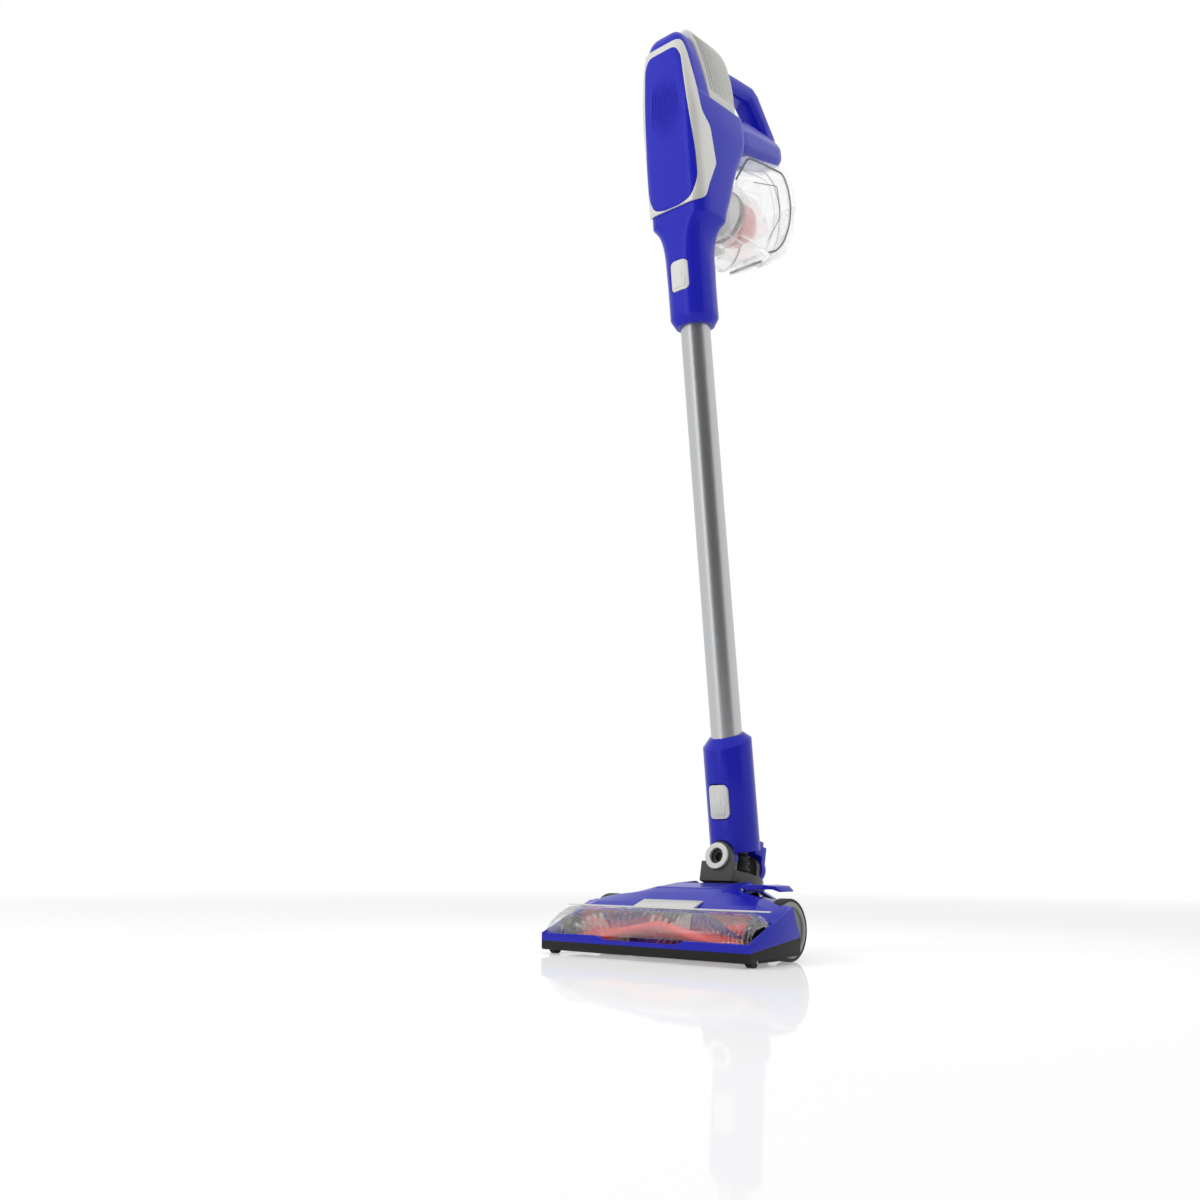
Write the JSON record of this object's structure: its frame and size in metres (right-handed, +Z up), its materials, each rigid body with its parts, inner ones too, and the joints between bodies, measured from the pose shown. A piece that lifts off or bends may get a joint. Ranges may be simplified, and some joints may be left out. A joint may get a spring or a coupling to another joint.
{
  "type": "cordless stick vacuum cleaner",
  "caption": "Cordless upright stick vacuum: powered brush floor tool, swivel neck, aluminium wand and hand unit with clear dust cup and loop handle.",
  "frame": {"origin": "centre of the footprint, on the floor", "axes": "+Z up, -Y the front of the floor tool, X across"},
  "size_m": [0.267, 0.3242, 1.1406],
  "materials": {
    "blue_shell": "candy blue gloss",
    "black_plastic": "fine texture",
    "clear": "clear polycarbonate",
    "silver_paint": "silver paint on plastic",
    "grey_plastic": "satin",
    "light_grey_plastic": "satin",
    "aluminium_tube": "satin anodised",
    "steel": "ground",
    "rubber": "moulded",
    "red_plastic": "gloss",
    "white_bristle": "nylon",
    "purple_bristle": "nylon",
    "red_clear": "tinted polycarbonate",
    "motor_steel": "zinc plated",
    "board_green": "laminate"
  },
  "bodies": {
    "floor_tool": {"nozzle_base": "black_plastic", "nozzle_cover": "blue_shell", "brush_window": "clear", "brush_chamber": "black_plastic", "window_band": "silver_paint", "brush_bearing_left": "black_plastic", "brush_bearing_right": "black_plastic", "brush_motor": "motor_steel", "drive_belt": "rubber", "suction_duct": "black_plastic", "wheel_axle_left": "steel", "wheel_axle_right": "steel", "roller_pin_left": "steel", "roller_pin_right": "steel", "pedal_pin": "steel"},
    "brush_roll": {"brush_core": "red_plastic", "brush_shaft": "steel", "brush_pulley": "black_plastic", "brush_tufts_white": "white_bristle", "brush_tufts_purple": "purple_bristle"},
    "motor_pulley": {"motor_pulley": "steel"},
    "wheel_left": {"wheel_hub_left": "grey_plastic", "wheel_tyre_left": "rubber"},
    "wheel_right": {"wheel_hub_right": "grey_plastic", "wheel_tyre_right": "rubber"},
    "roller_left": {"front_roller_left": "black_plastic"},
    "roller_right": {"front_roller_right": "black_plastic"},
    "pedal": {"foot_pedal": "blue_shell"},
    "yoke": {"yoke": "black_plastic", "swivel_ring": "silver_paint", "pitch_pin_left": "steel", "pitch_pin_right": "steel", "swivel_pin_front": "black_plastic", "swivel_pin_rear": "steel", "flex_hose": "rubber"},
    "neck": {"neck_collar": "blue_shell"},
    "neck_button": {"neck_button": "light_grey_plastic"},
    "wand": {"wand_tube": "aluminium_tube", "wand_sleeve_lower": "black_plastic", "wand_sleeve_upper": "black_plastic"},
    "hand_unit": {"hand_body": "blue_shell", "trim_frame": "silver_paint", "front_panel": "blue_shell", "exhaust_cover": "grey_plastic", "handle_loop": "blue_shell", "handle_strip": "silver_paint", "suction_motor": "motor_steel", "battery_pack": "black_plastic", "control_board": "board_green", "charging_socket": "black_plastic", "separator_cone": "grey_plastic", "separator_ring": "black_plastic", "inner_filter": "red_clear"},
    "hand_button": {"hand_button": "light_grey_plastic"},
    "trigger": {"power_trigger": "light_grey_plastic"},
    "fan": {"suction_fan": "black_plastic"},
    "dust_cup": {"dust_cup": "clear", "cup_door_pin": "steel"},
    "cup_latch": {"cup_latch": "light_grey_plastic"},
    "cup_door": {"cup_door": "clear"}
  },
  "joints": [
    {"name": "brush_spin", "type": "hinge", "parent": "floor_tool", "child": "brush_roll", "pos_m": [0, -0.13009, 0.025], "axis": [1, 0, 0], "continuous": true},
    {"name": "motor_spin", "type": "hinge", "parent": "floor_tool", "child": "motor_pulley", "pos_m": [0, -0.07809, 0.04], "axis": [1, 0, 0], "continuous": true},
    {"name": "wheel_left_spin", "type": "hinge", "parent": "floor_tool", "child": "wheel_left", "pos_m": [-0.114, -0.06359, 0.031], "axis": [1, 0, 0], "continuous": true},
    {"name": "wheel_right_spin", "type": "hinge", "parent": "floor_tool", "child": "wheel_right", "pos_m": [0.114, -0.06359, 0.031], "axis": [1, 0, 0], "continuous": true},
    {"name": "roller_left_spin", "type": "hinge", "parent": "floor_tool", "child": "roller_left", "pos_m": [-0.126, -0.14809, 0.0055], "axis": [1, 0, 0], "continuous": true},
    {"name": "roller_right_spin", "type": "hinge", "parent": "floor_tool", "child": "roller_right", "pos_m": [0.126, -0.14809, 0.0055], "axis": [1, 0, 0], "continuous": true},
    {"name": "pedal_press", "type": "hinge", "parent": "floor_tool", "child": "pedal", "pos_m": [0.06, -0.04209, 0.069], "axis": [0, 1, 0], "range_deg": [0, 5], "stiffness_Nm_per_rad": 3, "springref_deg": -2.86},
    {"name": "neck_pitch", "type": "hinge", "parent": "floor_tool", "child": "yoke", "pos_m": [0, -0.00209, 0.05599], "axis": [-1, 0, 0], "range_deg": [0, 80], "deforming": ["flex_hose"]},
    {"name": "neck_roll", "type": "hinge", "parent": "yoke", "child": "neck", "pos_m": [0, 0.01791, 0.0955], "axis": [0, 0.9744, -0.225], "range_deg": [-40, 40]},
    {"name": "neck_button_press", "type": "slide", "parent": "neck", "child": "neck_button", "axis": [0, 0.9945, 0.1045], "range_m": [0, 0.002], "stiffness_N_per_m": 1500, "springref_m": -0.001},
    {"name": "wand_pull", "type": "slide", "parent": "neck", "child": "wand", "axis": [0, -0.1045, 0.9945], "range_m": [0, 0.095]},
    {"name": "hand_unit_pull", "type": "slide", "parent": "wand", "child": "hand_unit", "axis": [0, -0.1045, 0.9945], "range_m": [0, 0.08]},
    {"name": "hand_button_press", "type": "slide", "parent": "hand_unit", "child": "hand_button", "axis": [0, 0.9945, 0.1045], "range_m": [0, 0.002], "stiffness_N_per_m": 1500, "springref_m": -0.001},
    {"name": "trigger_press", "type": "hinge", "parent": "hand_unit", "child": "trigger", "pos_m": [0, 0.03654, 1.10342], "axis": [-1, 0, 0], "range_deg": [0, 4], "stiffness_Nm_per_rad": 0.5, "springref_deg": -2.86},
    {"name": "fan_spin", "type": "hinge", "parent": "hand_unit", "child": "fan", "pos_m": [0, -0.02535, 0.9843], "axis": [0, -0.1045, 0.9945], "continuous": true},
    {"name": "cup_pull", "type": "slide", "parent": "hand_unit", "child": "dust_cup", "axis": [0, 0.9945, 0.1045], "range_m": [0, 0.09]},
    {"name": "latch_press", "type": "slide", "parent": "dust_cup", "child": "cup_latch", "axis": [0, 0.1045, -0.9945], "range_m": [0, 0.002], "stiffness_N_per_m": 1000, "springref_m": -0.001},
    {"name": "door_swing", "type": "hinge", "parent": "dust_cup", "child": "cup_door", "pos_m": [0, 0.06873, 0.86418], "axis": [1, 0, 0], "range_deg": [0, 80]}
  ],
  "couplings": [
    {"joint": "motor_spin", "follows": "brush_spin", "ratio": 1.8}
  ]
}
